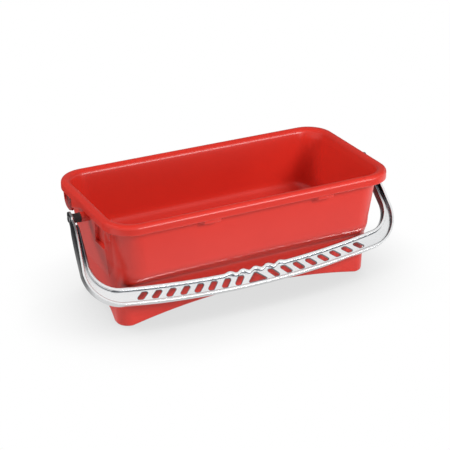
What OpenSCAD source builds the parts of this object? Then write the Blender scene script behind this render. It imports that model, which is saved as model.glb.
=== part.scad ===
// Wash bucket: a long rectangular tub on a narrower arched base.
// A perforated carry handle swings over it on two headed pivot pins.
// X is the length, the handle hangs to the front at -Y, Z is up from the floor.

/* [Rim] */
// Length over the rim
rim_l = 496; // [440:2:560]
// Width over the rim
rim_w = 250; // [220:5:280]
// Height of the rim above the floor
rim_h = 190; // [175:5:220]
// Corner radius of the rim, seen from above
rim_r = 45; // [34:1:60]
// Overhang of the rim beyond the tub wall
rim_overhang = 12; // [9:1:16]
// Depth of the skirt that turns down from the rim
skirt_h = 16; // [12:1:19]
// Rounding of the rim's outer top edge
rim_edge = 4; // [2:0.5:6]

/* [Tub] */
// Wall thickness of the moulding
wall = 3; // [2:0.25:3.5]
// Draft of the long walls, from the rim down to the step
tub_draft = 3; // [1:0.5:5]
// Draft of the end walls, from the rim down to the step
end_draft = 12; // [6:0.5:14]
// Corner radius of the tub under the rim
tub_r = 40; // [30:1:48]
// Radius where the tub wall turns under to the base
step_r = 25; // [15:1:35]

/* [Base] */
// Length of the base under the step
base_l = 450; // [420:2:460]
// Width of the base under the step
base_w = 170; // [150:2:180]
// Corner radius of the base
base_r = 20; // [14:1:28]
// Draft of the base wall on each side
base_draft = 2; // [1:0.5:4]
// Height of the underside of the bucket floor
floor_h = 38; // [34:1:46]
// Thickness of the feet under the floor
foot_t = 6; // [4:0.5:10]
// Length of the arch under each long side
side_arch_l = 404; // [340:2:408]
// Height of the arch under each long side
side_arch_h = 21; // [10:1:24]
// Width of the arch under each end
end_arch_w = 112; // [90:2:126]
// Height of the arch under each end
end_arch_h = 25; // [16:1:30]

/* [End panels] */
// Width of the raised panel on each end
panel_w = 142; // [124:2:148]
// How far the panel stands out of the tub wall under the rim
panel_proud = 4; // [3:0.5:6]
// Lean of the panel from upright, in degrees
panel_lean = 8.5; // [7:0.5:10]
// Width of each sunk pocket in the panel
pocket_w = 34; // [16:1:36]
// Height of each sunk pocket
pocket_h = 46; // [24:1:48]
// Depth of each sunk pocket
pocket_d = 4; // [1:0.25:4]
// Rib left between the two pockets, under the pivot
pocket_rib = 62; // [50:1:72]
// Where the ear behind the pivot runs out on the skirt, from the middle
ear_front = 6; // [4:1:24]
// How far the ear drops below the skirt at its back end
ear_drop = 14; // [5:0.5:16]
// How far the apron inside the skirt drops at the back corners
apron_drop = 52; // [40:1:60]
// How far the apron's front edge drops
apron_front = 22; // [10:1:34]
// How far back the apron's slanted end runs
apron_slant = 16; // [6:1:20]
// Where the apron starts in the corner, from the middle
apron_y = 100; // [90:1:110]
// Where the ear ends behind the pivot, from the middle
ear_back = 45; // [30:1:60]

/* [Rim lugs] */
// Length of each lug under the rim's skirt
lug_l = 27; // [15:1:40]
// Height of each lug
lug_h = 6; // [4:0.5:9]
// How far each lug stands out of the tub wall
lug_proud = 10; // [9.5:0.5:11.5]
// Distance of the left lugs from the middle
lug_left = 84; // [50:1:140]
// Distance of the right lugs from the middle
lug_right = 116; // [50:1:140]

/* [Pivots] */
// Depth of the pivot axis below the rim's top
pivot_drop = 27; // [24:0.5:34]
// Diameter of the boss that carries the pin
boss_d = 16; // [13:1:17]
// Diameter of the pivot pin
pin_d = 8; // [5:0.5:10]
// Depth that the pin is pressed into its boss
pin_press = 16; // [10:0.5:18]
// Diameter of the pin's head
pin_head_d = 11; // [10:0.5:15]
// Thickness of the pin's head
pin_head_h = 2; // [1.5:0.25:4]
// Radial running clearance of the handle on the pin
pin_clear = 0.05; // [0.02:0.01:0.1]
// Outer diameter of the spacer between boss and handle
spacer_d = 16; // [13:0.5:18]
// Length of the spacer
spacer_t = 13; // [8:0.5:18]
// Radial clearance of the spacer on the pin
spacer_clear = 0.15; // [0.1:0.05:0.3]
// Play of the handle's arm on each side
side_play = 0.3; // [0.2:0.05:0.6]

/* [Handle] */
// Gap from the rim's end to the inside of the handle's arm
arm_gap = 17; // [12:1:24]
// Thickness of the strap that forms the arms and the outer edge
strap_t = 4; // [3:0.25:5]
// Depth of the handle, square to its web
handle_d = 14; // [10:0.5:18]
// Width of the bar, from inner edge to outer edge
bar_w = 27.5; // [25:0.5:30]
// Bow of the bar between the rim's corners
bar_bow = 13; // [8:0.5:14]
// Least gap to the rim when the handle swings past it
swing_gap = 1.6; // [1:0.1:4]
// Gap between the resting handle and the base
rest_gap = 0.8; // [0.5:0.1:2]
// Thickness of the perforated web
web_t = 3; // [2:0.25:4]
// Thickness of the inner edge, where the fingers go
grip_t = 5; // [4:0.25:6]
// Width of the arm where it leaves the bend
arm_w = 15; // [10:0.5:18]
// Radius of the bend on the outside
bend_out_r = 62; // [50:1:75]
// Radius of the bend on the inside
bend_in_r = 44; // [34:1:52]
// How far each arm flares out from its eye to the bend
arm_flare = 9; // [4:0.5:12]
// Distance below the pivot where the arm narrows to its strap
arm_taper = 45; // [20:1:60]
// Diameter of the eye round the pin
eye_d = 17; // [16:1:22]
// How far each arm reaches above the pivot
arm_top = 12; // [10:1:18]

/* [Handle openings] */
// Spacing of the slots along the bar
slot_pitch = 23.4; // [20:0.2:24]
// Distance of the first slot from the middle
slot_first = 30.5; // [30:0.5:36]
// Width of a slot along the bar
slot_w = 11.5; // [7:0.5:12]
// Length of the first slots across the bar
slot_l = 14; // [10:0.5:15]
// Length of the last slots across the bar
slot_end_l = 11.5; // [8:0.5:14]
// Lean of the slots towards the middle, in degrees
slot_lean = 40; // [0:1:42]
// Width of the triangle in the middle
tri_w = 36; // [24:1:37]
// Corner radius of the triangle
tri_r = 1.5; // [0.5:0.25:2.5]
// Corner radius of the slots
slot_r = 2.5; // [1:0.25:3]
// Spacing of the finger waves
finger_pitch = 22.4; // [20:0.2:26]
// Height of the finger waves
finger_h = 4; // [1:0.25:5]
// How far the crests stand above the bar's edge
finger_rise = 2.5; // [0.5:0.25:3]
// Number of finger crests
finger_n = 5; // [3:2:7]

/* [Hidden] */
$fn = 64;
CORNER_N = 12;
TURN_N = 5;
EDGE_N = 4;
PAST = 1;

// Half sizes of the tub and base, as [along X, along Y]
rim_half = [rim_l, rim_w] / 2;
tub_top = rim_half - [rim_overhang, rim_overhang];
tub_low = tub_top - [end_draft, tub_draft];
base_top = [base_l, base_w] / 2;
base_low = base_top - [base_draft, base_draft];

// Pivot, and how far the rim and the resting handle reach from it
pivot_z = rim_h - pivot_drop;
rim_reach = norm([rim_half.y, pivot_drop]);
bar_end_in = rim_reach + swing_gap;
rest_angle = asin((base_top.y + rest_gap) / norm([bar_end_in, handle_d / 2]))
    + atan2(handle_d / 2, bar_end_in);

// The tub wall turns under round a circle that stays within the rim's reach
turn_y = tub_low.y - step_r;
turn_drop = sqrt(pow(rim_reach - step_r, 2) - pow(turn_y, 2));
turn_z = pivot_z - turn_drop;
slope_reach = turn_y * sin(rest_angle) + turn_drop * cos(rest_angle) + step_r;
base_z = pivot_z - (slope_reach - base_top.y * sin(rest_angle)) / cos(rest_angle);

// Places along X at each end, from the boss out to the pin's head
arm_in_x = rim_half.x + arm_gap;
arm_out_x = arm_in_x + strap_t;
spacer_x = arm_in_x - side_play - spacer_t;
head_x = arm_out_x + side_play;
skirt_z = rim_h - skirt_h;

// The bar is an arc about a point far above it, in the handle's own plane
bar_span = rim_half.x - rim_r;
bar_in_r = (pow(bar_span, 2) + pow(bar_bow, 2)) / (2 * bar_bow);
bar_out_r = bar_in_r + bar_w;
bar_mid_in = bar_end_in + bar_bow;
bar_centre = bar_mid_in - bar_in_r;
bend_x = arm_out_x + arm_flare;
arm_low_x = bend_x - arm_w;
flare_from = eye_d / 2 + strap_t;
web_mid = bar_in_r + (grip_t + bar_w - strap_t) / 2;
slot_n = floor((bar_span - slot_first) / slot_pitch) + 1;
crest_end = (finger_n - 1) / 2 * finger_pitch;

// Outline of the tub as it turns under: [drop below turn_z, half width]
function turn_level(a) = [step_r * sin(a), turn_y + step_r * cos(a)];
function turn_share(half_y) = (tub_low.y - half_y) / (tub_low.y - base_top.y);

// Point at an angle on the bar's arc, and the centre and angle of a bend
function arc_point(r, a) = [r * sin(a), bar_centre + r * cos(a)];
function bend_centre(r, x, br) =
    [x - br, bar_centre + sqrt(pow(r - br, 2) - pow(x - br, 2))];
function bend_angle(c) = atan2(c.x, c.y - bar_centre);
function wave(x) =
    abs(x) <= crest_end ? finger_rise - finger_h * (1 - cos(360 * x / finger_pitch)) / 2
    : abs(x) >= crest_end + finger_pitch / 2 ? 0
    : finger_rise * (1 + cos(360 * (abs(x) - crest_end) / finger_pitch)) / 2;

// Right half of an edge of the handle, from the middle to the arm's side
function half_edge(r, x, br, wavy = false) =
    let (c = bend_centre(r, x, br), a_end = bend_angle(c), steps = wavy ? 100 : 24)
    concat(
        [for (i = [0:steps])
            let (p = arc_point(r, a_end * i / steps))
            wavy ? p - [0, wave(p.x)] : p],
        [for (i = [1:12])
            let (a = a_end + (90 - a_end) * i / 12)
            c + br * [sin(a), cos(a)]]
    );

// Corner i of a loop of points, rounded off with a radius
function unit(v) = v / norm(v);
function corner(pts, i, r) =
    let (
        n = len(pts), p = pts[i],
        to_a = unit(pts[(i + n - 1) % n] - p), to_b = unit(pts[(i + 1) % n] - p),
        half = acos(to_a * to_b) / 2,
        c = p + unit(to_a + to_b) * r / sin(half),
        start = p + to_a * r / tan(half) - c, end = p + to_b * r / tan(half) - c
    )
    [for (k = [0:4]) c + r * unit(start * (4 - k) + end * k)];
function rounded(pts, r) = [for (i = [0:len(pts) - 1]) each corner(pts, i, r)];
function down(points) = [for (p = points) [p.x, -p.y]];
function flip(points) = [for (i = [len(points) - 1:-1:0]) points[i]];
function left_of(points) = [for (p = points) [-p.x, p.y]];

// Rounded rectangle at a height, as a loop of points, and a solid through such loops
function ring(half, r, z) =
    [for (q = [0:3], k = [0:CORNER_N])
        let (
            a = 90 * (q + k / CORNER_N),
            sx = q == 0 || q == 3 ? 1 : -1,
            sy = q < 2 ? 1 : -1
        )
        [sx * (half.x - r) + r * cos(a), sy * (half.y - r) + r * sin(a), z]];

module loft(rings) {
    n = len(rings[0]);
    last = (len(rings) - 1) * n;
    polyhedron(
        points = [for (loop = rings) each loop],
        faces = concat(
            [[for (j = [0:n - 1]) j]],
            [[for (j = [n - 1:-1:0]) last + j]],
            [for (i = [0:n:last - n], j = [0:n - 1])
                each [
                    [i + j, i + n + j, i + n + (j + 1) % n],
                    [i + j, i + n + (j + 1) % n, i + (j + 1) % n]
                ]]
        )
    );
}

// Rounded plate with straight sides
module plate(half, r, z, h) {
    translate([0, 0, z])
        linear_extrude(h)
            union() {
                square([2 * half.x, 2 * (half.y - r)], center = true);
                square([2 * (half.x - r), 2 * half.y], center = true);
                for (sx = [-1, 1], sy = [-1, 1])
                    translate([sx * (half.x - r), sy * (half.y - r)])
                        circle(r = r);
            }
}

// Base and tub up to the rim, drawn in by a wall thickness for the hollow
module tub_form(inset, low_z, top_z) {
    in = [inset, inset];
    low = base_low + (base_top - base_low) * low_z / base_z;
    up = inset / 2;
    loft(concat(
        [ring(low - in, base_r - inset, low_z), ring(base_top - in, base_r - inset, base_z + up)],
        [for (k = [TURN_N:-1:1])
            let (
                level = turn_level((90 - rest_angle) * k / TURN_N),
                share = turn_share(level[1]),
                half = [tub_low.x + (base_top.x - tub_low.x) * share, level[1]],
                r = tub_r + (base_r - tub_r) * share
            )
            ring(half - in, r - inset, turn_z - level[0] + up)],
        [ring(tub_low - in, tub_r - inset, turn_z + up), ring(tub_top - in, tub_r - inset, top_z)]
    ));
}

// Flange and skirt round the mouth
module rim() {
    difference() {
        loft(concat(
            [ring(rim_half, rim_r, skirt_z)],
            [for (k = [0:EDGE_N])
                let (a = 90 * k / EDGE_N, in = rim_edge * (1 - cos(a)))
                ring(rim_half - [in, in], rim_r - in, rim_h - rim_edge * (1 - sin(a)))]
        ));
        plate(rim_half - [wall, wall], rim_r - wall, skirt_z - PAST, skirt_h - wall + PAST);
    }
}

// Raised panel on the right end, from the skirt down until it runs out on the base
module end_panel() {
    low_z = base_z / 2;
    thick = panel_proud + 2 * wall;
    translate([tub_top.x + panel_proud, 0, skirt_z])
        rotate([0, panel_lean, 0])
            difference() {
                translate([-thick, -panel_w / 2, low_z - skirt_z])
                    cube([thick, panel_w, skirt_z - low_z]);
                for (side = [-1, 1])
                    translate([0, side * (pocket_rib + pocket_w) / 2, -pocket_h / 2 - wall])
                        cube([2 * pocket_d, pocket_w, pocket_h], center = true);
            }
}

// Ear that drops from the right end's skirt behind the pivot, deepest at its back
module skirt_ear() {
    inset = wall / 8;
    translate([rim_half.x - wall + inset, 0, skirt_z])
        rotate([90, 0, 90])
            linear_extrude(wall - 2 * inset)
                polygon([
                    [ear_front, inset], [ear_back, -ear_drop],
                    [ear_back, skirt_h / 2], [ear_front, skirt_h / 2]
                ]);
}

// Band that follows the skirt round both back corners, between two insets from the rim
module back_corner_band(outer, inner, low_z, high) {
    intersection() {
        difference() {
            plate(rim_half - [outer, outer], rim_r - outer, low_z, high);
            plate(rim_half - [inner, inner], rim_r - inner, low_z - PAST, high + 2 * PAST);
        }
        for (side = [-1, 1])
            translate([side * rim_half.x - rim_r, apron_y, low_z])
                rotate([90, 0, 90])
                    linear_extrude(2 * rim_r)
                        polygon([
                            [0, apron_drop - apron_front], [apron_slant, 0],
                            [rim_half.y, 0], [rim_half.y, high], [0, high]
                        ]);
    }
}

// Boss on the right end, reaching out under the rim
module pivot_boss() {
    translate([tub_low.x - wall, 0, pivot_z])
        rotate([0, 90, 0])
            cylinder(d = boss_d, h = spacer_x - tub_low.x + wall);
}

// Lugs under the skirt along the front wall
module rim_lugs() {
    lug_z = rim_h - skirt_h - lug_h;
    depth = lug_proud + tub_draft + wall;
    for (x = [-lug_left, lug_right])
        translate([x - lug_l / 2, -tub_top.y - lug_proud, lug_z])
            cube([lug_l, depth, lug_h + PAST]);
}

// Arch cut with its crown at the given height
module arch(chord, rise, reach) {
    r = (pow(chord / 2, 2) + pow(rise, 2)) / (2 * rise);
    translate([0, 0, rise - r])
        rotate([90, 0, 0])
            cylinder(r = r, h = reach, center = true, $fn = 128);
}

module bucket_body() {
    color("crimson")
    difference() {
        union() {
            rim();
            tub_form(0, 0, rim_h - wall / 2);
            for (end = [0, 180])
                rotate(end) {
                    end_panel();
                    pivot_boss();
                    rim_lugs();
                }
            for (side = [0, 1])
                mirror([side, 0, 0])
                    skirt_ear();
            back_corner_band(0.8 * wall, 1.8 * wall, skirt_z - apron_drop, apron_drop + skirt_h - wall / 2);
        }
        tub_form(wall, floor_h + wall, rim_h + PAST);
        plate(base_low - [foot_t, foot_t], base_r - foot_t, -PAST, floor_h + PAST);
        arch(side_arch_l, side_arch_h, rim_w);
        rotate(90)
            arch(end_arch_w, end_arch_h, rim_l + 2 * arm_gap);
        for (end = [0, 180])
            rotate(end)
                translate([spacer_x - pin_press, 0, pivot_z])
                    rotate([0, 90, 0])
                        cylinder(d = pin_d, h = pin_press + PAST);
    }
}

// Both sides of an edge of the handle as one run of points
function full_edge(half) = concat(flip(left_of(half)), [for (i = [1:len(half) - 1]) half[i]]);

// Strap that runs from eye to eye round the outside
module strap_outline() {
    outer = full_edge(half_edge(bar_out_r, bend_x, bend_out_r));
    inner = full_edge(half_edge(bar_out_r - strap_t, bend_x - strap_t, bend_out_r - strap_t));
    arm_out = [[arm_out_x, flare_from], [arm_out_x, -arm_top]];
    arm_in = [[arm_in_x, -arm_top], [arm_in_x, flare_from]];
    polygon(down(concat(
        flip(left_of(arm_out)), outer, arm_out,
        arm_in, flip(inner), flip(left_of(arm_in))
    )));
}

// Inner edge with its finger waves, tapering into the strap
module grip_outline() {
    inner = full_edge(half_edge(bar_in_r, arm_low_x, bend_in_r, true));
    outer = full_edge(half_edge(bar_in_r + grip_t, arm_low_x + grip_t, bend_in_r + grip_t, true));
    tip_in = [arm_in_x, arm_taper];
    tip_out = [arm_in_x + strap_t / 2, arm_taper];
    polygon(down(concat(
        left_of([tip_out]), outer, [tip_out],
        [tip_in], flip(inner), left_of([tip_in])
    )));
}

// Solid web between the two edges
module web_outline() {
    inner = full_edge(half_edge(bar_in_r + grip_t / 2, arm_low_x + grip_t / 2, bend_in_r + grip_t / 2, true));
    outer = full_edge(half_edge(bar_out_r - strap_t / 2, bend_x - strap_t / 2, bend_out_r - strap_t / 2));
    tip = [arm_in_x + strap_t / 2, arm_taper];
    polygon(down(concat(
        left_of([tip]), outer, [tip], flip(inner)
    )));
}

// Leaning slot across the bar, at a distance from the middle
module web_slot(i, side) {
    x = slot_first + i * slot_pitch;
    a = asin(x / web_mid);
    p = arc_point(web_mid, a);
    half = (slot_l + (slot_end_l - slot_l) * i / (slot_n - 1)) / 2;
    shift = half * tan(slot_lean);
    mirror([side < 0 ? 1 : 0, 0])
        translate([p.x, -p.y])
            rotate(a)
                polygon(rounded([
                    [-shift - slot_w / 2, half], [-shift + slot_w / 2, half],
                    [shift + slot_w / 2, -half], [shift - slot_w / 2, -half]
                ], slot_r));
}

// Triangle in the middle of the web, pointing at the fingers
module web_triangle() {
    mid = -arc_point(web_mid, 0).y;
    polygon(rounded([
        [-tri_w / 2, mid - slot_l / 2], [tri_w / 2, mid - slot_l / 2], [0, mid + slot_l / 2 + tri_r]
    ], tri_r));
}

// Handle flat in its own plane, hanging straight down from the pivot at the origin
module handle_flat() {
    rotate([90, 0, 0])
        difference() {
            union() {
                linear_extrude(handle_d, center = true)
                    strap_outline();
                linear_extrude(handle_d, center = true)
                    grip_outline();
                linear_extrude(web_t, center = true)
                    web_outline();
            }
            linear_extrude(handle_d + PAST, center = true)
                union() {
                    for (i = [0:slot_n - 1], side = [-1, 1])
                        web_slot(i, side);
                    web_triangle();
                }
        }
}

module carry_handle() {
    color("silver")
    translate([0, 0, pivot_z])
        rotate([-rest_angle, 0, 0])
            difference() {
                union() {
                    handle_flat();
                    for (end = [0, 180])
                        rotate(end)
                            translate([arm_in_x, 0, 0])
                                rotate([0, 90, 0])
                                    cylinder(d = eye_d, h = strap_t);
                }
                rotate([0, 90, 0])
                    cylinder(r = pin_d / 2 + pin_clear, h = 2 * (arm_out_x + PAST), center = true);
            }
}

// Headed pin pressed into the boss on the right end
module pivot_pin() {
    shank = head_x - spacer_x + pin_press;
    color("dimgray")
    translate([spacer_x - pin_press, 0, pivot_z])
        rotate([0, 90, 0])
            union() {
                cylinder(d = pin_d, h = shank);
                translate([0, 0, shank])
                    cylinder(d = pin_head_d, h = pin_head_h);
            }
}

// Spacer that holds the arm off the boss on the right end
module pivot_spacer() {
    color("black")
    translate([spacer_x, 0, pivot_z])
        rotate([0, 90, 0])
            difference() {
                cylinder(d = spacer_d, h = spacer_t);
                translate([0, 0, -PAST])
                    cylinder(r = pin_d / 2 + spacer_clear, h = spacer_t + 2 * PAST);
            }
}

module pivot_pin_left() {
    rotate(180) pivot_pin();
}

module pivot_pin_right() {
    pivot_pin();
}

module pivot_spacer_left() {
    rotate(180) pivot_spacer();
}

module pivot_spacer_right() {
    pivot_spacer();
}

bucket_body();
carry_handle();
pivot_pin_left();
pivot_pin_right();
pivot_spacer_left();
pivot_spacer_right();
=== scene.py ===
"""Long red wash bucket with a perforated silver carry handle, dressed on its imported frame."""

import logging
import math
from dataclasses import dataclass
from enum import Enum
from typing import Iterable, Sequence

import bmesh
import bpy
import numpy as np
from mathutils import Matrix, Vector


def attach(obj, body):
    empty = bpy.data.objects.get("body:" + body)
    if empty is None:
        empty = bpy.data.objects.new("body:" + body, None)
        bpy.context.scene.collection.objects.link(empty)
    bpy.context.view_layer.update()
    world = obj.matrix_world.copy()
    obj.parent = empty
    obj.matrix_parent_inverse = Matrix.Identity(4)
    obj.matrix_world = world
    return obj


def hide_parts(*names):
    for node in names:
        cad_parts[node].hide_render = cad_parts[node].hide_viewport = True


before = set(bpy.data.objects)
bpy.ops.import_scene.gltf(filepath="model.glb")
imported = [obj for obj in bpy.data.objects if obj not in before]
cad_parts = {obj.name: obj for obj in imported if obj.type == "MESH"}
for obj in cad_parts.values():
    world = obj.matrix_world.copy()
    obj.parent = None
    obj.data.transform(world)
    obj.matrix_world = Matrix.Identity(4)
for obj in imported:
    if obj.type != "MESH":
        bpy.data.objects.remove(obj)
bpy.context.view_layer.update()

MM = 0.001
SMOOTH_ANGLE = math.radians(38)
# Distance that counts as one point, in metres, in a new mesh, in a cutter and in a combined mesh
WELD_NEW, WELD_CUT, WELD_DONE = 1e-7, 1e-6, 2e-6
# Bend of an edge that wears fully, in radians, and width of the faces that wear, in metres
WEAR_BEND, WEAR_WIDTH = 0.8, 0.0007
# Radius of points on a lathe's axis, in millimetres, and points round it
AXIS, LATHE_STEPS = 1e-4, 48
# Angles of a plain rounding, in degrees
ROUND = (0, 30, 60, 90)
log = logging.getLogger("wash_bucket")

Point = tuple[float, float]
Place = tuple[float, float, float]
Obj = bpy.types.Object
Mesh = bpy.types.Mesh
Material = bpy.types.Material
Node = bpy.types.Node
Socket = bpy.types.NodeSocket
Tree = bpy.types.NodeTree


class Slot(Enum):
    """Material slots of the record."""

    BUCKET = "bucket_plastic"
    HANDLE = "handle_silver"
    PIN = "pin_steel"
    SPACER = "spacer_plastic"


class Side(Enum):
    """The two ends of the bucket, by the sign of X."""

    LEFT = -1
    RIGHT = 1


class Join(Enum):
    """How one solid is combined with another."""

    UNION = "UNION"
    CUT = "DIFFERENCE"


# Numbers and points


def smoothstep(low: float, high: float, x: np.ndarray | float) -> np.ndarray:
    """Smooth rise from 0 at low to 1 at high."""
    t = np.clip((np.asarray(x, float) - low) / (high - low), 0, 1)
    return t * t * (3 - 2 * t)


def plateau(span: Point, soft: float, x: np.ndarray) -> np.ndarray:
    """1 inside a span and 0 outside it, with soft steps."""
    low, high = span
    return smoothstep(low - soft, low + soft, x) * (1 - smoothstep(high - soft, high + soft, x))


def between(a: Point, b: Point, t: float) -> Point:
    """Point at a share of the way from one point to another."""
    return tuple(p + (q - p) * t for p, q in zip(a, b))


def quarter(r: float, degrees: Iterable[float]) -> list[Point]:
    """Offsets round a quarter turn.

    Args:
        r: Radius of the turn.
        degrees: Angles, from 0 at the side to 90 at the top.

    Returns:
        How far each point lies short of the top and short of the side.
    """
    return [(r * (1 - math.sin(a)), r * (1 - math.cos(a))) for a in np.radians(degrees)]


def sideways(path: np.ndarray) -> np.ndarray:
    """Unit normals on the left of a path."""
    along = np.gradient(path, axis=0)
    along /= np.linalg.norm(along, axis=1)[:, None]
    return np.column_stack([-along[:, 1], along[:, 0]])


# Mesh helpers


def add_object(name: str, data: bpy.types.ID) -> Obj:
    """Make an object and link it to the scene."""
    obj = bpy.data.objects.new(name, data)
    bpy.context.scene.collection.objects.link(obj)
    return obj


def make_object(name: str, verts: np.ndarray, faces: Sequence[tuple[int, ...]]) -> Obj:
    """Make a linked mesh object, with its faces turned outwards.

    Args:
        name: Name of the object and of its mesh.
        verts: Points, in millimetres.
        faces: Corner indices of each face.

    Returns:
        The new object.
    """
    mesh = bpy.data.meshes.new(name)
    mesh.from_pydata((verts * MM).tolist(), [], faces)
    bm = bmesh.new()
    bm.from_mesh(mesh)
    bmesh.ops.remove_doubles(bm, verts=bm.verts, dist=WELD_NEW)
    bmesh.ops.recalc_face_normals(bm, faces=bm.faces)
    bm.to_mesh(mesh)
    bm.free()
    return add_object(name, mesh)


def tube_faces(rings: int, around: int, closed: bool = False) -> list[tuple[int, ...]]:
    """Quads between loops of points.

    Args:
        rings: Number of loops.
        around: Points in each loop.
        closed: Whether the last loop joins the first.

    Returns:
        Corner indices of the quads.
    """
    faces = []
    for i in range(rings if closed else rings - 1):
        a, b = i * around, (i + 1) % rings * around
        faces += [(a + j, a + (j + 1) % around, b + (j + 1) % around, b + j) for j in range(around)]
    return faces


def loft(name: str, rings: Sequence[np.ndarray]) -> Obj:
    """Closed solid through loops of points, capped at both ends.

    Args:
        name: Name of the object.
        rings: Loops with the same number of points, in millimetres.

    Returns:
        The new object.
    """
    around = len(rings[0])
    last = (len(rings) - 1) * around
    caps = [tuple(range(around)), tuple(range(last + around - 1, last - 1, -1))]
    return make_object(name, np.concatenate(rings), tube_faces(len(rings), around) + caps)


def lathe(name: str, profile: Sequence[Point], side: Side, z: float) -> Obj:
    """Solid turned about an axis along X.

    Args:
        name: Name of the object.
        profile: Closed run of (radius, distance from the middle), in millimetres.
        side: End of the bucket that it is on.
        z: Height of the axis.

    Returns:
        The new object.
    """
    a = np.arange(LATHE_STEPS) * 2 * math.pi / LATHE_STEPS
    rings = [
        np.stack([np.full(LATHE_STEPS, side.value * x), r * np.cos(a), z + r * np.sin(a)], 1)
        for r, x in profile
    ]
    return make_object(name, np.concatenate(rings), tube_faces(len(rings), LATHE_STEPS, closed=True))


def rounded_box(name: str, low: Place, high: Place, radius: float) -> Obj:
    """Box with rounded edges.

    Args:
        name: Name of the object.
        low: Lowest corner, in millimetres.
        high: Highest corner, in millimetres.
        radius: Radius of the edges.

    Returns:
        The new object.
    """
    bm = bmesh.new()
    bmesh.ops.create_cube(bm, size=1)
    low_v, high_v = Vector(low) * MM, Vector(high) * MM
    for v in bm.verts:
        v.co = Vector(map(lambda c, a, b: a + (c + 0.5) * (b - a), v.co, low_v, high_v))
    bmesh.ops.bevel(bm, geom=bm.edges[:], offset=radius * MM, segments=3, profile=0.5, affect="EDGES")
    bmesh.ops.recalc_face_normals(bm, faces=bm.faces)
    mesh = bpy.data.meshes.new(name)
    bm.to_mesh(mesh)
    bm.free()
    return add_object(name, mesh)


def to_plain_mesh(obj: Obj) -> None:
    """Apply all modifiers of an object by taking its evaluated mesh."""
    graph = bpy.context.evaluated_depsgraph_get()
    graph.update()
    made = bpy.data.meshes.new_from_object(obj.evaluated_get(graph), depsgraph=graph)
    old = obj.data
    obj.modifiers.clear()
    obj.data = made
    bpy.data.meshes.remove(old)


def combine(obj: Obj, others: Sequence[Obj], how: Join) -> None:
    """Combine other solids with an object and delete them.

    Args:
        obj: Object that is changed.
        others: Closed solids that are added or cut away.
        how: Whether they are added or cut away.
    """
    for other in others:
        step = obj.modifiers.new(other.name, "BOOLEAN")
        step.operation = how.value
        step.solver = "MANIFOLD"
        step.object = other
    to_plain_mesh(obj)
    for other in others:
        mesh = other.data
        bpy.data.objects.remove(other)
        bpy.data.meshes.remove(mesh)


def read(items: bpy.types.bpy_prop_collection, key: str, kind: type, width: int = 1) -> np.ndarray:
    """Read one property of all of a mesh's items.

    Args:
        items: Points, corners or faces of a mesh.
        key: Name of the property.
        kind: Type of its numbers.
        width: Numbers in each value.

    Returns:
        Array with a row for each item, or a number where the width is 1.
    """
    out = np.empty(len(items) * width, kind)
    items.foreach_get(key, out)
    return out if width == 1 else out.reshape(-1, width)


def note(mesh: Mesh, name: str, values: np.ndarray) -> None:
    """Keep a number for each corner of a mesh as an attribute."""
    mesh.attributes.new(name, "FLOAT", "CORNER").data.foreach_set("value", values.astype(np.float32))


def finish_surface(obj: Obj) -> None:
    """Shade an object smooth between soft edges and note where it wears.

    The corner attribute edge_wear rises from 0 to 1 on narrow faces along convex edges.

    Args:
        obj: Object with a plain mesh.
    """
    mesh = obj.data
    bm = bmesh.new()
    bm.from_mesh(mesh)
    bmesh.ops.remove_doubles(bm, verts=bm.verts, dist=WELD_DONE)
    bmesh.ops.dissolve_degenerate(bm, edges=bm.edges, dist=WELD_DONE)
    bm.normal_update()
    bends = []
    for v in bm.verts:
        turn = [e.calc_face_angle_signed(0.0) for e in v.link_edges if len(e.link_faces) == 2]
        bends.append(min(1.0, max(0.0, max(turn, default=0.0) / WEAR_BEND)))
    narrow = [f.calc_area() < WEAR_WIDTH * f.calc_perimeter() for f in bm.faces]
    bm.to_mesh(mesh)
    bm.free()
    mesh.polygons.foreach_set("use_smooth", np.ones(len(mesh.polygons), bool))
    mesh.set_sharp_from_angle(angle=SMOOTH_ANGLE)
    mesh.update()
    verts = read(mesh.loops, "vertex_index", np.int32)
    sizes = read(mesh.polygons, "loop_total", np.int32)
    note(mesh, "edge_wear", np.array(bends)[verts] * np.repeat(narrow, sizes))


# Node trees


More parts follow.
